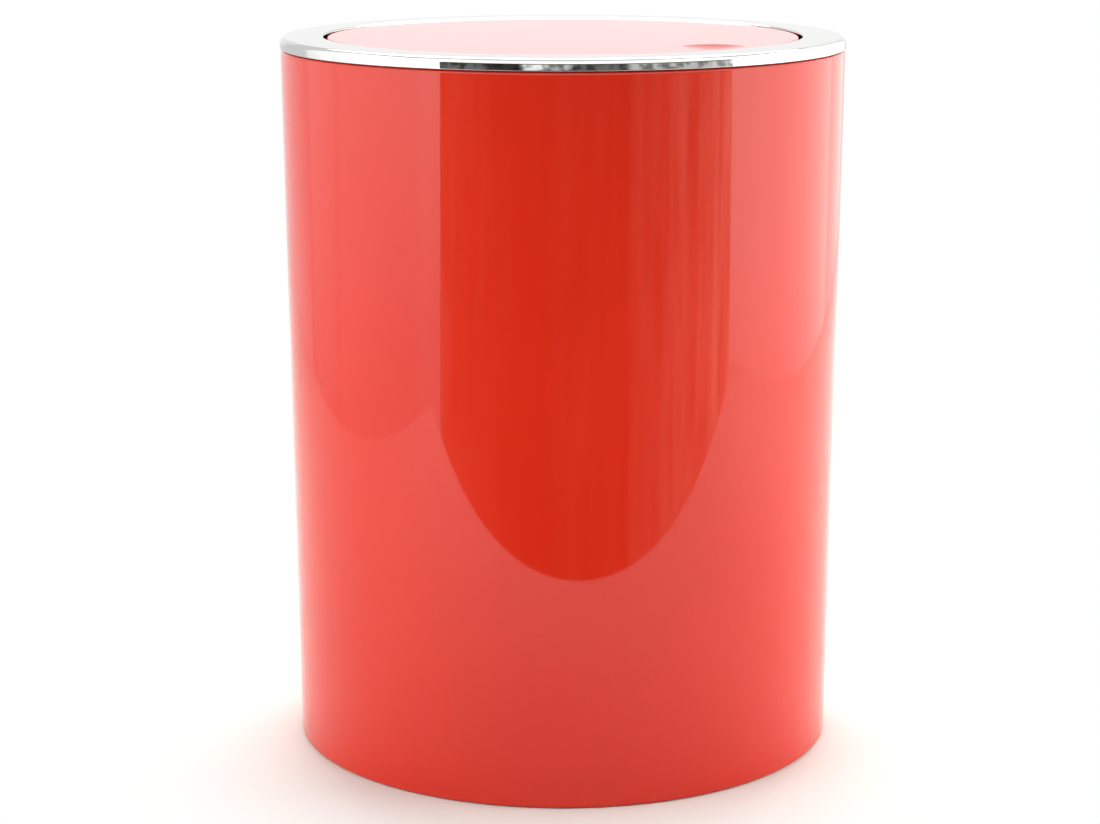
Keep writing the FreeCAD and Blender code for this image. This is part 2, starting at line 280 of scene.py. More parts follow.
# bright plating of the ring
plating = {
    "deep": (0.57, 0.575, 0.57),
    "light": (0.63, 0.63, 0.62),
    "edgeTint": (0.84, 0.84, 0.84, 1),
    "tintSize": 30.0,
    "rough": (0.015, 0.045),
    "polishSize": 220.0,
    "waveSize": 60.0,
    "waveStrength": 0.3,
    "waveDepth": 0.00003,
    "lineSize": 5200.0,       # buffing lines that run round the ring
    "lineStrength": 0.15,
    "lineDepth": 0.000002,
}


def makePlating():
    look = plating
    finish, tree, shader = newFinish("brightPlating")
    place = objectPlace(tree)
    colour = tinted(tree, noise(tree, place, look["tintSize"]), look)
    tree.links.new(colour, shader.inputs["Base Color"])
    shader.inputs["Metallic"].default_value = 1.0
    shader.inputs["Specular Tint"].default_value = look["edgeTint"]
    rough = spread(tree, noise(tree, place, look["polishSize"], detail=4.0, rough=0.6), *look["rough"])
    tree.links.new(rough, shader.inputs["Roughness"])
    slow = noise(tree, place, look["waveSize"], detail=1.0)
    waves = bump(tree, shader, slow, look["waveStrength"], look["waveDepth"])
    around = tree.nodes.new("ShaderNodeCombineXYZ")
    tree.links.new(fromAxis(tree, place), around.inputs["X"])
    tree.links.new(axes(tree, place)["Z"], around.inputs["Z"])
    lines = noise(tree, around.outputs["Vector"], look["lineSize"])
    bump(tree, shader, lines, look["lineStrength"], look["lineDepth"], waves)
    return finish


# bare steel: a stamped weight and turned pins
stampedSteel = {
    "deep": (0.30, 0.30, 0.31),
    "light": (0.42, 0.42, 0.43),
    "stretch": (0.2, 1.0, 1.0),       # the grain runs along the smallest share
}
turnedSteel = {
    "deep": (0.48, 0.48, 0.48),
    "light": (0.62, 0.62, 0.62),
    "stretch": (1.0, 0.05, 0.05),
}
steelGrain = {
    "size": 900.0,
    "rough": (0.28, 0.46),
    "strength": 0.3,
    "depth": 0.00003,
}


def makeSteel(name, look):
    finish, tree, shader = newFinish(name)
    grain = noise(tree, stretched(tree, objectPlace(tree), look["stretch"]), steelGrain["size"], detail=3.0)
    tree.links.new(tinted(tree, grain, look), shader.inputs["Base Color"])
    shader.inputs["Metallic"].default_value = 1.0
    tree.links.new(spread(tree, grain, *steelGrain["rough"]), shader.inputs["Roughness"])
    bump(tree, shader, grain, steelGrain["strength"], steelGrain["depth"])
    return finish


# mesh helpers: shapes are drawn in millimetres and scaled down at the end
meshing = {
    "mergeGap": 0.0005,
    "sharpAngle": 32,         # degrees
    "smallRounding": 0.5,     # roundings below this get fewer steps
    "smallSteps": 4,
    "largeSteps": 9,
    "rodSegments": 48,
    "postSegments": 24,
    "sectorSteps": 6,
    "sideShare": 0.48,        # the most of a side that one rounding takes up
    "fullShare": 0.998,       # the same where a single rounding has the side to itself
    "ballShare": 0.995,       # of a ball's radius, so that its rounding still fits
    "tuck": 0.02,             # keeps joined faces from lying in one plane
    "overshoot": 1.0,         # how far a cutter reaches past what it cuts
}
bothSides = (0, 180)          # turns of what is there once on each side


def spin(bm, corners, segments, sideShare=meshing["sideShare"]):
    # corners are (radius, height, rounding); an outline that begins on the axis stays open
    points = [bm.verts.new((radius, 0, height)) for radius, height, rounding in corners]
    runs = list(zip(points, points[1:]))
    if corners[0][0] > 0:
        runs.append((points[-1], points[0]))
    old = set(bm.verts) - set(points)
    for run in runs:
        bm.edges.new(run)
    roundings = []
    for point, (radius, height, rounding) in zip(points, corners):
        if rounding > 0:
            back, ahead = [edge.other_vert(point).co - point.co for edge in point.link_edges]
            reach = rounding / math.tan(back.angle(ahead) / 2)
            roundings.append((point, min(reach, sideShare * min(back.length, ahead.length)), rounding))
    for point, reach, rounding in roundings:
        bmesh.ops.bevel(bm, geom=[point], offset=reach, offset_type="OFFSET", affect="VERTICES",
                        segments=meshing["smallSteps" if rounding < meshing["smallRounding"] else "largeSteps"],
                        profile=0.5, material=-1)
    outline = [point for point in bm.verts if point not in old]
    edges = [edge for edge in bm.edges if edge.verts[0] not in old]
    bmesh.ops.spin(bm, geom=outline + edges, cent=(0, 0, 0), axis=(0, 0, 1),
                   angle=math.tau, steps=segments, use_merge=True)
    made = [point for point in bm.verts if point not in old]
    bmesh.ops.remove_doubles(bm, verts=made, dist=meshing["mergeGap"])
    return [point for point in bm.verts if point not in old]


def turnsRound(count, first=0.5):
    # even turns, the first one after that share of a step
    return [(index + first) * 360 / count for index in range(count)]


def block(bm, low, high, turn=0):
    middle = [(a + b) / 2 for a, b in zip(low, high)]
    size = [b - a for a, b in zip(low, high)]
    stand = Matrix.Translation(middle) @ Matrix.Diagonal((*size, 1))
    bmesh.ops.create_cube(bm, size=1, matrix=turnedBy(turn) @ stand)


def cylinder(bm, radius, length, segments, matrix):
    bmesh.ops.create_cone(bm, cap_ends=True, segments=segments, radius1=radius, radius2=radius, depth=length,
                          matrix=matrix)


def rod(bm, radius, start, end, height, turn):
    # lies along X, then turned about Z
    lie = Matrix.Translation(((start + end) / 2, 0, height)) @ Matrix.Rotation(math.pi / 2, 4, "Y")
    cylinder(bm, radius, end - start, meshing["rodSegments"], turnedBy(turn) @ lie)


def post(bm, radius, place, low, high, turn):
    stand = Matrix.Translation((place, 0, (low + high) / 2))
    cylinder(bm, radius, high - low, meshing["postSegments"], turnedBy(turn) @ stand)


def plate(bm, outline, thickness, turn):
    # outline is (radius, height), the thickness half to each side
    flat = [bm.verts.new((radius, -thickness / 2, height)) for radius, height in outline]
    made = bmesh.ops.extrude_face_region(bm, geom=[bm.faces.new(flat)])
    raised = [part for part in made["geom"] if isinstance(part, bmesh.types.BMVert)]
    bmesh.ops.translate(bm, vec=(0, thickness, 0), verts=raised)
    bmesh.ops.rotate(bm, verts=flat + raised, cent=(0, 0, 0), matrix=turnedBy(turn).to_3x3())
    return flat + raised


def sector(bm, inner, outer, low, high, halfAngle, turn):
    # a piece of a ring's wall
    corners = [bm.verts.new(corner) for corner in
               ((inner, 0, low), (outer, 0, low), (outer, 0, high), (inner, 0, high))]
    face = bm.faces.new(corners)
    bmesh.ops.rotate(bm, verts=corners, cent=(0, 0, 0), matrix=turnedBy(turn - halfAngle).to_3x3())
    bmesh.ops.spin(bm, geom=[*corners, *face.edges, face], cent=(0, 0, 0), axis=(0, 0, 1),
                   steps=meshing["sectorSteps"], angle=math.radians(2 * halfAngle))


def fused(base, extras, holes):
    # booleans: each set of extras joins the base, then each set of holes is cut out
    things = []
    steps = [("", base)] + [("UNION", bm) for bm in extras] + [("DIFFERENCE", bm) for bm in holes]
    for operation, bm in steps:
        bmesh.ops.recalc_face_normals(bm, faces=bm.faces[:])
        mesh = bpy.data.meshes.new("fusing")
        bm.to_mesh(mesh)
        bm.free()
        thing = bpy.data.objects.new("fusing", mesh)
        scene.collection.objects.link(thing)
        things.append(thing)
        if operation:
            step = things[0].modifiers.new(operation.lower(), "BOOLEAN")
            step.operation = operation
            step.object = thing
            step.solver = "MANIFOLD"
    result = bmesh.new()
    result.from_object(things[0], bpy.context.evaluated_depsgraph_get())
    for thing in things:
        bpy.data.objects.remove(thing)
    return result


def addPiece(name, bm, finish, body, node):
    bmesh.ops.remove_doubles(bm, verts=bm.verts[:], dist=meshing["mergeGap"])
    bmesh.ops.recalc_face_normals(bm, faces=bm.faces[:])
    bmesh.ops.scale(bm, vec=(millimetre,) * 3, verts=bm.verts[:])
    mesh = bpy.data.meshes.new(name)
    bm.to_mesh(mesh)
    bm.free()
    mesh.shade_smooth()
    mesh.set_sharp_from_angle(angle=math.radians(meshing["sharpAngle"]))
    mesh.materials.append(finish)
    piece = bpy.data.objects.new(name, mesh)
    scene.collection.objects.link(piece)
    level = piece.modifiers.new("levelFaces", "WEIGHTED_NORMAL")
    level.keep_sharp = True
    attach(piece, body)
    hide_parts(node)
    print(name, "made:", len(mesh.polygons), "faces")


# bucket
bucketShape = {
    "height": 230.0,
    "topRadius": 92.0,
    "draft": 0.65,            # degrees that the wall leans out
    "wall": 2.0,
    "rimEdge": 1.4,
    "floorTop": 5.4,
    "floorUnder": 3.0,
    "floorCorner": 6.0,
    "footWidth": 5.0,
    "footEdge": 1.2,
    "footInnerEdge": 0.8,
    "gateRadius": 4.5,        # dished moulding gate under the floor
    "gateDepth": 0.7,
    "segments": 256,
}


def bucketSlope():
    return math.tan(math.radians(bucketShape["draft"]))


def bucketBase():
    return bucketShape["topRadius"] - bucketSlope() * bucketShape["height"]


def addBucket(finish):
    shape = bucketShape
    base = bucketBase()
    footInner = base - shape["footWidth"]
    gateTop = shape["floorUnder"] + shape["gateDepth"]
    floorRadius = base + bucketSlope() * shape["floorTop"] - shape["wall"]
    bm = bmesh.new()
    spin(bm, [
        (0, gateTop, 0),
        (shape["gateRadius"], gateTop, 0),
        (shape["gateRadius"], shape["floorUnder"], 0),
        (footInner, shape["floorUnder"], shape["footInnerEdge"]),
        (footInner, 0, shape["footInnerEdge"]),
        (base, 0, shape["footEdge"]),
        (shape["topRadius"], shape["height"], shape["rimEdge"]),
        (shape["topRadius"] - shape["wall"], shape["height"], 0),
        (floorRadius, shape["floorTop"], shape["floorCorner"]),
        (0, shape["floorTop"], 0),
    ], shape["segments"])
    addPiece("bucketShell", bm, finish, "bucket", "bucket")


# plated ring
ringShape = {
    "outerRadius": 92.2,
    "mouthRadius": 78.0,
    "top": 234.0,
    "hem": 230.3,
    "lipBottom": 230.4,
    "shell": 1.3,
    "outerEdge": 2.0,
    "mouthEdge": 0.6,
    "hemEdge": 0.2,
    "segments": 256,
}


def addRing(finish):
    shape = ringShape
    underside = shape["top"] - shape["shell"]
    shellOuter = shape["outerRadius"] - shape["shell"]
    lipOuter = shape["mouthRadius"] + shape["shell"]
    bm = bmesh.new()
    spin(bm, [
        (shape["outerRadius"], shape["hem"], shape["hemEdge"]),
        (shape["outerRadius"], shape["top"], shape["outerEdge"]),
        (shape["mouthRadius"], shape["top"], shape["mouthEdge"]),
        (shape["mouthRadius"], shape["lipBottom"], shape["hemEdge"]),
        (lipOuter, shape["lipBottom"], shape["hemEdge"]),
        (lipOuter, underside, 0),
        (shellOuter, underside, shape["outerEdge"] - shape["shell"]),
        (shellOuter, shape["hem"], shape["hemEdge"]),
    ], shape["segments"])
    addPiece("platedRing", bm, finish, "frame", "chrome_ring")


# swing lid
lidShape = {
    "top": 233.6,
    "radius": 76.859,
    "thickness": 2.0,
    "edge": 0.7,
    "skirt": 1.8,
    "skirtDepth": 8.0,
    "dimplePlace": 64.859,    # from the lid's middle, towards -Y
    "dimpleRadius": 10.0,
    "dimpleDepth": 1.05,
    "dimpleRim": 1.5,         # rounding of the dimple's rim
    "margin": 0.05,           # flat strip beside a rounded rim
    "rimShare": 0.95,         # of a side, for the skirt's roundings
    "swellSegments": 64,
    "earHalfAngle": 6.75,     # degrees
    "earDrop": 8.5,           # below the pivot
    "bossRadius": 3.61,
    "bossLength": 15.6,
    "boreRadius": 2.01,
    "boreLength": 14.0,
    "web": 2.4,
    "webTuck": 0.1,           # the web ends inside the boss
    "lugTop": 4.45,           # below the pivot
    "lugBottom": 7.25,
    "lugWidth": 3.0,
    "lugReach": 1.6,
    "ribs": 8,
    "rib": 1.4,
    "ribDepth": 4.0,
    "gussetReach": 30.0,
    "gussetFoot": 214.35,
    "cupRadius": 22.0,
    "cupBore": 20.2,
    "cupBottom": 210.35,
    "cupEdge": 0.4,
    "cupSegments": 96,
    "stops": 4,               # ribs in the cup that stop the weight
    "stop": 1.4,
    "stopLength": 3.5,
    "stopFoot": 218.55,
    "segments": 160,
}
pivotHeight = 226.35


def dimpleBall():
    # radius of the ball that the dimple is cut with
    return (lidShape["dimpleRadius"] ** 2 + lidShape["dimpleDepth"] ** 2) / (2 * lidShape["dimpleDepth"])


def lidShell():
    # skirt and underside turned about the bin's axis, dimple about its own, flat top between them
    shape = lidShape
    top = shape["top"]
    underside = top - shape["thickness"]
    skirtInner = shape["radius"] - shape["skirt"]
    skirtBottom = top - shape["skirtDepth"]
    ball = dimpleBall()
    reach = ball + shape["dimpleRim"]
    rimPlace = math.sqrt(reach ** 2 - (reach - shape["dimpleDepth"]) ** 2)
    lean = math.asin(rimPlace / reach)
    bm = bmesh.new()
    dimple = spin(bm, [
        (0, top - shape["dimpleDepth"], 0),
        (ball * math.tan(lean / 2), top - shape["dimpleDepth"], ball * meshing["ballShare"]),
        (rimPlace - shape["dimpleRim"] * math.tan(lean / 2), top, shape["dimpleRim"]),
        (rimPlace + shape["margin"], top, 0),
    ], shape["segments"], meshing["fullShare"])
    bmesh.ops.translate(bm, vec=(0, -shape["dimplePlace"], 0), verts=dimple)
    spin(bm, [
        (0, underside, 0),
        (skirtInner, underside, shape["edge"]),
        (skirtInner, skirtBottom, shape["edge"]),
        (shape["radius"], skirtBottom, shape["edge"]),
        (shape["radius"], top, shape["edge"]),
        (shape["radius"] - shape["edge"] - shape["margin"], top, 0),
    ], shape["segments"], shape["rimShare"])
    bmesh.ops.bridge_loops(bm, edges=[edge for edge in bm.edges if edge.is_boundary])
    return bm


def lidUnderside():
    # sets of shapes that don't touch each other
    shape = lidShape
    root = shape["top"] - shape["thickness"] / 2
    underside = shape["top"] - shape["thickness"]
    skirtMiddle = shape["radius"] - shape["skirt"] / 2
    cupMiddle = (shape["cupBore"] + shape["cupRadius"]) / 2
    bossInner = shape["radius"] - shape["bossLength"]
    swelling, cup, stops, ribs, ears, bosses, webs, lugs = sets = [bmesh.new() for index in range(8)]
    # the dimple swells the underside
    ball = dimpleBall() + shape["thickness"]
    reach = math.sqrt(ball ** 2 - (ball - shape["dimpleDepth"]) ** 2)
    spin(swelling, [
        (0, root, 0),
        (reach, root, 0),
        (reach, underside, 0),
        (ball * math.tan(math.asin(reach / ball) / 2), underside - shape["dimpleDepth"], ball * meshing["ballShare"]),
        (0, underside - shape["dimpleDepth"], 0),
    ], shape["swellSegments"], meshing["fullShare"])
    bmesh.ops.translate(swelling, vec=(0, -shape["dimplePlace"], 0), verts=swelling.verts[:])
    # cup for the weight, with ribs that stop it
    spin(cup, [
        (shape["cupBore"], shape["cupBottom"], 0),
        (shape["cupRadius"], shape["cupBottom"], shape["cupEdge"]),
        (shape["cupRadius"], root, 0),
        (shape["cupBore"], root, 0),
    ], shape["cupSegments"])
    for turn in turnsRound(shape["stops"]):
        block(stops, (shape["cupBore"] - shape["stopLength"], -shape["stop"] / 2, shape["stopFoot"]),
              (cupMiddle, shape["stop"] / 2, root), turn)
    ribFoot = underside - shape["ribDepth"]
    for turn in turnsRound(shape["ribs"]):
        plate(ribs, [(cupMiddle, root), (skirtMiddle, root), (skirtMiddle, ribFoot),
                     (shape["cupRadius"] + shape["gussetReach"], ribFoot), (cupMiddle, shape["gussetFoot"])],
              shape["rib"], turn)
    # ears, pin bosses, webs and stop lugs, one each side
    for turn in bothSides:
        earOuter = shape["radius"] - meshing["tuck"]
        sector(ears, earOuter - shape["skirt"], earOuter, pivotHeight - shape["earDrop"], root,
               shape["earHalfAngle"], turn)
        rod(bosses, shape["bossRadius"], bossInner, skirtMiddle, pivotHeight, turn)
        block(webs, (bossInner + shape["webTuck"], -shape["web"] / 2, pivotHeight),
              (skirtMiddle, shape["web"] / 2, root), turn)
        block(lugs, (skirtMiddle, -shape["lugWidth"] / 2, pivotHeight - shape["lugBottom"]),
              (shape["radius"] + shape["lugReach"], shape["lugWidth"] / 2, pivotHeight - shape["lugTop"]), turn)
    return sets


def addLid(finish):
    shape = lidShape
    bores = bmesh.new()
    for turn in bothSides:
        rod(bores, shape["boreRadius"], shape["radius"] - shape["boreLength"],
            shape["radius"] + meshing["overshoot"], pivotHeight, turn)
    addPiece("swingLid", fused(lidShell(), lidUnderside(), [bores]), finish, "lid", "swing_lid")


# lift-off frame under the ring
frameShape = {
    "innerRadius": 79.5,
    "wall": 1.6,
    "wallBottom": 213.0,
    "plugOuter": 89.352,
    "plugWall": 1.5,
    "plugBottom": 217.0,
    "corner": 0.6,
    "flangeRadius": 90.7,
    "flangeUnder": 230.0,
    "flangeTop": 231.4,
    "bead": 1.6,              # seat that carries the ring
    "beadTop": 232.7,
    "bearingFace": 77.359,
    "bearingEnd": 83.6,
    "bearingRadius": 3.7,
    "boreRadius": 2.05,
    "throat": 3.36,
    "leadIn": 7.0,
    "leadInTop": 216.5,
    "stopBarLow": 227.377,
    "stopBarHeight": 2.0,
    "stopBarWidth": 16.5,
    "channelRibs": 16,
    "channelRib": 1.2,
    "channelRibFoot": 222.0,
    "gripRibs": 12,
    "gripRib": 0.9,
    "gripRibPlace": 88.852,
    "snaps": 6,
    "snapWidth": 7.0,
    "snapTop": 230.3,
    "snapHeight": 2.0,
    "snapReach": 0.9,
    "segments": 192,
}


def frameBody():
    shape = frameShape
    wallOuter = shape["innerRadius"] + shape["wall"]
    plugInner = shape["plugOuter"] - shape["plugWall"]
    middle = (wallOuter + plugInner) / 2
    beadInner = middle - shape["bead"] / 2
    beadOuter = middle + shape["bead"] / 2
    bm = bmesh.new()
    spin(bm, [
        (wallOuter, shape["wallBottom"], shape["corner"]),
        (wallOuter, shape["flangeUnder"], 0),
        (plugInner, shape["flangeUnder"], 0),
        (plugInner, shape["plugBottom"], shape["corner"]),
        (shape["plugOuter"], shape["plugBottom"], shape["corner"]),
        (shape["plugOuter"], shape["flangeUnder"], 0),
        (shape["flangeRadius"], shape["flangeUnder"], 0),
        (shape["flangeRadius"], shape["flangeTop"], 0),
        (beadOuter, shape["flangeTop"], 0),
        (beadOuter, shape["beadTop"], 0),
        (beadInner, shape["beadTop"], 0),
        (beadInner, shape["flangeTop"], 0),
        (shape["innerRadius"], shape["flangeTop"], 0),
        (shape["innerRadius"], shape["wallBottom"], shape["corner"]),
    ], shape["segments"])
    return bm


def frameDetails():
    # sets of shapes that don't touch each other
    shape = frameShape
    root = shape["innerRadius"] + shape["wall"] / 2
    plugMiddle = shape["plugOuter"] - shape["plugWall"] / 2
    flangeMiddle = (shape["flangeUnder"] + shape["flangeTop"]) / 2
    bearings, stopBars, channelRibs, gripRibs, snaps = sets = [bmesh.new() for index in range(5)]
    for turn in bothSides:
        rod(bearings, shape["bearingRadius"], shape["bearingFace"], shape["bearingEnd"], pivotHeight, turn)
        block(stopBars, (shape["bearingFace"] + meshing["tuck"], -shape["stopBarWidth"] / 2, shape["stopBarLow"]),
              (root, shape["stopBarWidth"] / 2, shape["stopBarLow"] + shape["stopBarHeight"]), turn)
    for turn in turnsRound(shape["channelRibs"]):
        block(channelRibs, (root, -shape["channelRib"] / 2, shape["channelRibFoot"]),
              (plugMiddle, shape["channelRib"] / 2, flangeMiddle), turn)
    for turn in turnsRound(shape["gripRibs"], first=0):
        post(gripRibs, shape["gripRib"], shape["gripRibPlace"], shape["plugBottom"] + shape["corner"],
             flangeMiddle, turn)
    for turn in turnsRound(shape["snaps"]):
        plate(snaps, [(root, shape["snapTop"]), (shape["innerRadius"] - shape["snapReach"], shape["snapTop"]),
                      (shape["innerRadius"], shape["snapTop"] - shape["snapHeight"]),
                      (root, shape["snapTop"] - shape["snapHeight"])],
              shape["snapWidth"], turn)
    return sets


def frameHoles():
    # round bores, each with a throat below that the pin snaps through
    shape = frameShape
    start = shape["bearingFace"] - meshing["overshoot"]
    end = shape["bearingEnd"] + meshing["overshoot"]
    foot = shape["wallBottom"] - meshing["overshoot"]
    bores, throats = sets = [bmesh.new(), bmesh.new()]
    for turn in bothSides:
        rod(bores, shape["boreRadius"], start, end, pivotHeight, turn)
        slot = plate(throats, [(-shape["leadIn"] / 2, foot), (shape["leadIn"] / 2, foot),
                               (shape["throat"] / 2, shape["leadInTop"]), (shape["throat"] / 2, pivotHeight),
                               (-shape["throat"] / 2, pivotHeight), (-shape["throat"] / 2, shape["leadInTop"])],
                     end - start, 90)
        bmesh.ops.translate(throats, vec=((start + end) / 2, 0, 0), verts=slot)
        bmesh.ops.rotate(throats, verts=slot, cent=(0, 0, 0), matrix=turnedBy(turn).to_3x3())
    return sets


def addFrame(finish):
    addPiece("liftFrame", fused(frameBody(), frameDetails(), frameHoles()), finish,
             "frame", "lid_frame")


# counterweight, its cap and the pins
weightShape = {
    "radius": 20.0,
    "bottom": 212.35,
    "top": 218.35,
    "chamfer": 0.6,
    "edge": 0.2,
    "segments": 96,
}
capShape = {
    "radius": 22.0,
    "bottom": 208.75,
    "seat": 210.35,
    "spigotTop": 212.35,
    "spigotOuter": 20.1,
    "spigotInner": 18.1,
    "edge": 0.5,
    "notchWidth": 8.0,
    "notchDepth": 1.0,
    "segments": 96,
}
pinShape = {
    "radius": 2.0,
    "start": 63.059,
    "end": 84.2,
    "chamfer": 0.4,
    "edge": 0.1,
    "segments": 48,
}


def turnedBar(shape, low, high):
    # a round bar on the Z axis, chamfered at both ends
    inner = shape["radius"] - shape["chamfer"]
    bm = bmesh.new()
    spin(bm, [
        (0, low, 0),
        (inner, low, shape["edge"]),
        (shape["radius"], low + shape["chamfer"], shape["edge"]),
        (shape["radius"], high - shape["chamfer"], shape["edge"]),
        (inner, high, shape["edge"]),
        (0, high, 0),
    ], shape["segments"])
    return bm


def addWeight(finish):
    bar = turnedBar(weightShape, weightShape["bottom"], weightShape["top"])
    addPiece("steelWeight", bar, finish, "lid", "counterweight")


def addCap(finish):
    shape = capShape
    bm = bmesh.new()
    spin(bm, [
        (0, shape["bottom"], 0),
        (shape["radius"], shape["bottom"], shape["edge"]),
        (shape["radius"], shape["seat"], 0),
        (shape["spigotOuter"], shape["seat"], 0),
        (shape["spigotOuter"], shape["spigotTop"], shape["edge"]),
        (shape["spigotInner"], shape["spigotTop"], shape["edge"]),
        (shape["spigotInner"], shape["seat"], 0),
        (0, shape["seat"], 0),
    ], shape["segments"])
    notch = bmesh.new()
    halfNotch = shape["notchWidth"] / 2
    block(notch, (-halfNotch, -shape["radius"] - meshing["overshoot"], shape["seat"] - shape["notchDepth"]),
          (halfNotch, shape["notchDepth"] - shape["radius"], shape["seat"] + meshing["overshoot"] / 2))
    addPiece("weightCap", fused(bm, [], [notch]), finish, "lid", "weight_cap")


def addPins(finish):
    for side, turn in (("right", 90), ("left", -90)):
        bm = turnedBar(pinShape, pinShape["start"], pinShape["end"])
        lie = Matrix.Rotation(math.radians(turn), 3, "Y")
        bmesh.ops.rotate(bm, verts=bm.verts[:], cent=(0, 0, 0), matrix=lie)
        bmesh.ops.translate(bm, vec=(0, 0, pivotHeight), verts=bm.verts[:])
        addPiece(side + "Pin", bm, finish, "lid", "pivot_pin_" + side)


finishes = {
    "bucket": makeRedGloss("bucketGloss", insideBucket),
    "swing_lid": makeRedGloss("lidGloss", underLid),
    "lid_frame": makeRedGrain(),
    "chrome_ring": makePlating(),
    "counterweight": makeSteel("stampedSteel", stampedSteel),
    "pivot_pin_left": makeSteel("turnedSteel", turnedSteel),
}
finishes["weight_cap"] = finishes["lid_frame"]
finishes["pivot_pin_right"] = finishes["pivot_pin_left"]

for name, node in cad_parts.items():
    node.material_slots[0].material = finishes[name]
print("finishes made:", len(finishes))

addBucket(finishes["bucket"])
addRing(finishes["chrome_ring"])
addLid(finishes["swing_lid"])
addFrame(finishes["lid_frame"])
addWeight(finishes["counterweight"])
addCap(finishes["weight_cap"])
addPins(finishes["pivot_pin_left"])


# stage: white table, side panels of light, a dark room in front and a white surround
studio = {
    "tableTurn": 6.4,          # degrees, the table stands a little askew
    "tableFront": 0.3305,      # edges of the table, from the bin's axis
    "tableLeft": 0.53,
    "tableRight": 0.65,
    "tableBack": 1.8,
    "tableDrop": 0.0001,       # just below the foot
    "tableColour": (0.80, 0.80, 0.76, 1),
    "tableRough": 0.75,
    "tableSpecular": 0.15,
    "whiteSeen": (0.09, 0.18),      # the table turns plain white between these distances
    "whiteMirrored": (0.7, 1.2),    # the same in gloss, which shows the lit table further out
    "roomRadius": 1.3,
    "roomLeft": -75.0,         # degrees from the camera's side of the bin
    "roomRight": 85.0,
    "roomLow": -0.7,
    "roomHigh": 2.4,
    "roomSteps": 64,
    "cardsFrom": (0.09, 0.11),         # heights between which the cards begin to show
    "heightsFrom": (0.22, 0.26),       # the same for what is above them
    "streakSize": 15.0,
    "streakStretch": (1, 1, 0.5),
    "streakShare": (0.55, 1.45),
    "patchSize": 13.0,
    "patchSpan": (0.42, 0.58),
    "patchShare": (0.45, 1.45),
    "fillLow": 0.85,           # light that comes from below the table's level
    "fillHigh": 0.03,
    "fillSpan": (-0.05, 0.05),
}

# side panels: ends in the camera's plan, how far each height is moved along the panel, radiance, and its share
# along and up the panel
leftPanel = {
    "front": (-0.622, -0.576),
    "back": (-0.571, 0.315),
    "lean": [(-0.35, 0.092), (0.143, -0.012), (0.80, 0.0)],
    "radiance": 2.8,
    "tint": (1.0, 1.0, 0.98),
    "along": [(0.0, 1.0), (0.165, 1.0), (0.20, 0.90), (0.545, 0.78), (0.70, 0.68), (0.73, 0.58), (0.76, 0.64),
              (0.96, 0.52), (1.0, 0.41)],
    "up": [(0.0, 0.45), (0.30, 0.55), (0.36, 0.72), (0.44, 0.92), (0.52, 1.0)],
}
rightPanel = {
    "front": (0.767, -0.330),
    "back": (0.467, 1.066),
    "lean": [(-0.35, 0.067), (0.143, 0.0), (0.80, 0.0)],
    "radiance": 3.15,
    "tint": (1.0, 0.985, 0.94),
    "along": [(0.0, 0.98), (0.15, 0.98), (0.25, 0.88), (0.37, 0.84), (0.60, 0.82), (0.63, 0.60), (1.0, 0.56)],
    "up": [(0.0, 0.6), (0.30, 0.78), (0.36, 0.94), (0.42, 1.0)],
}

# room in front: bearing and radiance, low down where the body mirrors it
roomBearings = [(-60, 0.70), (-48, 0.62), (-36, 0.30), (-25, 0.18), (-16, 0.10), (-6, 0.09), (0, 0.16), (12, 0.15),
                (25, 0.13), (27, 0.42), (37, 0.50), (46, 0.80), (53, 0.80), (62, 1.3), (85, 1.7)]
roomTint = (1.0, 0.93, 0.72)

# cards higher up in it, which only the ring mirrors: from one bearing to another, in one of four plain greys
cardGreys = {"dark": 0.04, "dim": 0.15, "middle": 0.55, "pale": 1.0}
roomCards = [(-75, -50, "middle"), (-48, -30, "dim"), (-28, -16, "dark"), (-14, -8, "pale"),
             (-6, 2, "middle"), (4, 24, "dim"), (26, 58, "middle"), (62, 85, "pale")]

# above those, only in the ring's rounding: height and colour, from dark through a green tint to white
roomHeights = [(0.26, (0.05, 0.05, 0.05)), (0.38, (0.05, 0.05, 0.05)), (0.50, (0.9, 1.0, 0.5)),
               (0.65, (2.0, 2.0, 2.0))]


def addStageMesh(name, bm, finish):
    mesh = bpy.data.meshes.new(name)
    bm.to_mesh(mesh)
    bm.free()
    mesh.materials.append(finish)
    thing = bpy.data.objects.new(name, mesh)
    scene.collection.objects.link(thing)
    return thing


def seenRay(tree):
    # 1 on rays from the camera, off gloss or through glass
    path = tree.nodes.new("ShaderNodeLightPath")
    seen = sums(tree, "MAXIMUM", path.outputs["Is Camera Ray"], path.outputs["Is Glossy Ray"])
    return sums(tree, "MAXIMUM", seen, path.outputs["Is Transmission Ray"])


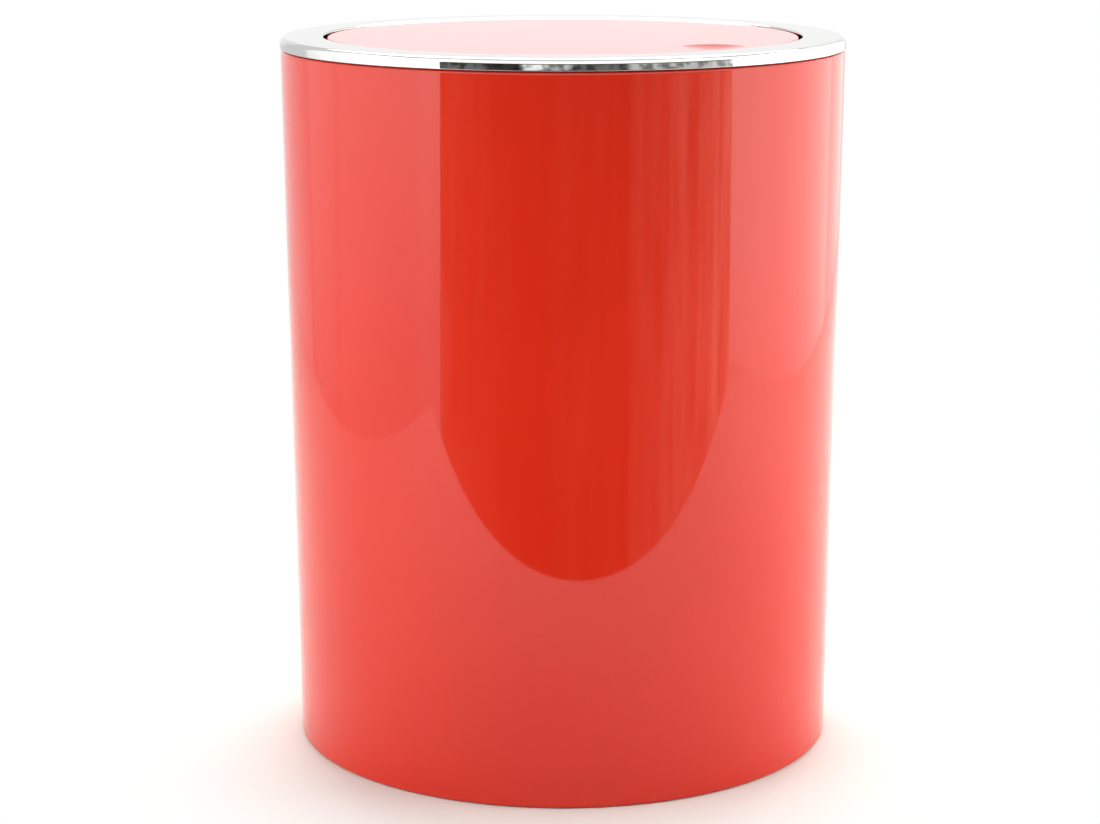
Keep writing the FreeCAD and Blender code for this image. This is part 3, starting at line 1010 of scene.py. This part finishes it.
def addTable():
    front, back = -studio["tableFront"], studio["tableBack"]
    left, right = -studio["tableLeft"], studio["tableRight"]
    bm = bmesh.new()
    for corner in [(left, front), (right, front), (right, back), (left, back)]:
        turned = turnedBy(studio["tableTurn"]) @ Vector((*corner, -studio["tableDrop"]))
        bm.verts.new(fromPhoto(*turned))
    bm.faces.new(bm.verts[:])
    finish, tree, shader = newFinish("tableWhite")
    place = objectPlace(tree)
    shader.inputs["Base Color"].default_value = studio["tableColour"]
    shader.inputs["Roughness"].default_value = studio["tableRough"]
    shader.inputs["Specular IOR Level"].default_value = studio["tableSpecular"]
    white = tree.nodes.new("ShaderNodeEmission")
    mixed = tree.nodes.new("ShaderNodeMixShader")
    path = tree.nodes.new("ShaderNodeLightPath")
    away = fromAxis(tree, place)
    mirroring = sums(tree, "MAXIMUM", path.outputs["Is Glossy Ray"], path.outputs["Is Transmission Ray"])
    seen = sums(tree, "MULTIPLY", spread(tree, away, 0.0, 1.0, studio["whiteSeen"]), path.outputs["Is Camera Ray"])
    mirrored = sums(tree, "MULTIPLY", spread(tree, away, 0.0, 1.0, studio["whiteMirrored"]), mirroring)
    tree.links.new(sums(tree, "ADD", seen, mirrored), mixed.inputs["Fac"])
    tree.links.new(shader.outputs["BSDF"], mixed.inputs[1])
    tree.links.new(white.outputs["Emission"], mixed.inputs[2])
    tree.links.new(mixed.outputs["Shader"], tree.nodes["Material Output"].inputs["Surface"])
    addStageMesh("table", bm, finish)


def glow(tree, colour, radiance):
    light = tree.nodes.new("ShaderNodeEmission")
    light.inputs["Strength"].default_value = radiance
    tree.links.new(colour, light.inputs["Color"])
    tree.links.new(light.outputs["Emission"], tree.nodes["Material Output"].inputs["Surface"])


def addPanel(name, panel):
    bm = bmesh.new()
    uv = bm.loops.layers.uv.new("panelPlace")
    ends = [Vector(panel["front"]), Vector(panel["back"])]
    direction = (ends[1] - ends[0]).normalized()
    low, high = panel["lean"][0][0], panel["lean"][-1][0]
    rows = [[bm.verts.new(fromPhoto(*(end + direction * shift), height)) for end in ends]
            for height, shift in panel["lean"]]
    for lower, upper in zip(rows, rows[1:]):
        face = bm.faces.new([*lower, *reversed(upper)])
        for loop, along in zip(face.loops, (0, 1, 1, 0)):
            loop[uv].uv = (along, (loop.vert.co.z - low) / (high - low))
    finish, tree, shader = newFinish(name)
    tree.nodes.remove(shader)
    at = axes(tree, tree.nodes.new("ShaderNodeTexCoord").outputs["UV"])
    along = ramp(tree, at["X"], [(share, level * Vector(panel["tint"])) for share, level in panel["along"]])
    up = ramp(tree, at["Y"], [(share, (level,) * 3) for share, level in panel["up"]])
    glow(tree, scaled(tree, along, up), panel["radiance"])
    addStageMesh(name, bm, finish).visible_camera = False


def addDarkRoom():
    bm = bmesh.new()
    start = fromPhoto(0, -studio["roomRadius"], 0)
    foot = bm.verts.new((start.x, start.y, studio["roomLow"]))
    head = bm.verts.new((start.x, start.y, studio["roomHigh"]))
    edge = bm.edges.new((foot, head))
    bmesh.ops.rotate(bm, verts=[foot, head], cent=(0, 0, 0),
                     matrix=Matrix.Rotation(math.radians(studio["roomLeft"]), 3, "Z"))
    bmesh.ops.spin(bm, geom=[foot, head, edge], cent=(0, 0, 0), axis=(0, 0, 1), steps=studio["roomSteps"],
                   angle=math.radians(studio["roomRight"] - studio["roomLeft"]))
    finish, tree, shader = newFinish("darkRoom")
    tree.nodes.remove(shader)
    place = objectPlace(tree)
    turned = tree.nodes.new("ShaderNodeMapping")
    turned.inputs["Rotation"].default_value = (0, 0, math.radians(90 - photo["azimuth"]))
    tree.links.new(place, turned.inputs["Vector"])
    bearing = tree.nodes.new("ShaderNodeTexGradient")
    bearing.gradient_type = "RADIAL"
    tree.links.new(turned.outputs["Vector"], bearing.inputs["Vector"])
    height = axes(tree, place)["Z"]
    lower = ramp(tree, bearing.outputs["Fac"], [(angle / 360 + 0.5, level * Vector(roomTint))
                                                for angle, level in roomBearings])
    streaks = noise(tree, stretched(tree, place, studio["streakStretch"]), studio["streakSize"], detail=4.0)
    lower = scaled(tree, lower, spread(tree, streaks, *studio["streakShare"]))
    cards = ramp(tree, bearing.outputs["Fac"], [(angle / 360 + 0.5, (cardGreys[grey],) * 3)
                                                for start, end, grey in roomCards for angle in (start, end)])
    patches = noise(tree, place, studio["patchSize"])
    cards = scaled(tree, cards, spread(tree, patches, *studio["patchShare"], studio["patchSpan"]))
    upper = ramp(tree, spread(tree, height, 0.0, 1.0, (0.0, studio["roomHigh"])),
                 [(level / studio["roomHigh"], colour) for level, colour in roomHeights])
    layers = layered(tree, lower, cards, spread(tree, height, 0.0, 1.0, studio["cardsFrom"]))
    layers = layered(tree, layers, upper, spread(tree, height, 0.0, 1.0, studio["heightsFrom"]))
    glow(tree, layers, 1.0)
    room = addStageMesh("darkRoom", bm, finish)
    room.visible_camera = False
    room.visible_diffuse = False


# lamps: place and aim in the camera's plan, and size in metres; only the mirrored ones show in gloss
lamps = {
    "highLight": {"place": (0, 0.95, 1.35), "aim": (0, -0.15, 0), "size": (1.3, 0.9),
                  "radiance": 8.0, "mirrored": True},
    "frontLight": {"place": (0, -0.42, 0.33), "aim": (0, -0.419, 0), "size": (1.2, 0.15),
                   "radiance": 3.3, "mirrored": False},
    "leftLight": {"place": (-0.47, -0.42, 0.3), "aim": (-0.47, -0.419, 0), "size": (0.25, 0.3),
                  "radiance": 2.6, "mirrored": False},
    "rightLight": {"place": (0.56, -0.15, 0.3), "aim": (0.56, -0.149, 0), "size": (0.3, 0.3),
                   "radiance": 3.4, "mirrored": False},
    "backLight": {"place": (0, 1.4, 0.45), "aim": (0, 0, 0.3), "size": (1.8, 0.6),
                  "radiance": 0.2, "mirrored": True},
}


def addLamp(name, lamp):
    light = bpy.data.lights.new(name, "AREA")
    light.shape = "RECTANGLE"
    light.size, light.size_y = lamp["size"]
    light.energy = lamp["radiance"] * math.pi * light.size * light.size_y
    box = bpy.data.objects.new(name, light)
    box.location = fromPhoto(*lamp["place"])
    box.rotation_euler = (fromPhoto(*lamp["aim"]) - box.location).to_track_quat("-Z", "Y").to_euler()
    box.visible_camera = False
    box.visible_glossy = lamp["mirrored"]
    scene.collection.objects.link(box)


def addSurround():
    # white where it is seen or mirrored, softer where it only lights
    world = bpy.data.worlds.new("surround")
    scene.world = world
    world.use_nodes = True
    tree = world.node_tree
    background = tree.nodes["Background"]
    background.inputs["Color"].default_value = (1, 1, 1, 1)
    height = axes(tree, tree.nodes.new("ShaderNodeTexCoord").outputs["Generated"])["Z"]
    fill = spread(tree, height, studio["fillLow"], studio["fillHigh"], studio["fillSpan"])
    strength = spread(tree, seenRay(tree), 0.0, 1.0, (0.0, 1.0))
    tree.links.new(fill, strength.node.inputs["To Min"])
    tree.links.new(strength, background.inputs["Strength"])


addTable()
addPanel("leftPanel", leftPanel)
addPanel("rightPanel", rightPanel)
addDarkRoom()
for name, lamp in lamps.items():
    addLamp(name, lamp)
addSurround()
print("stage and lights set")
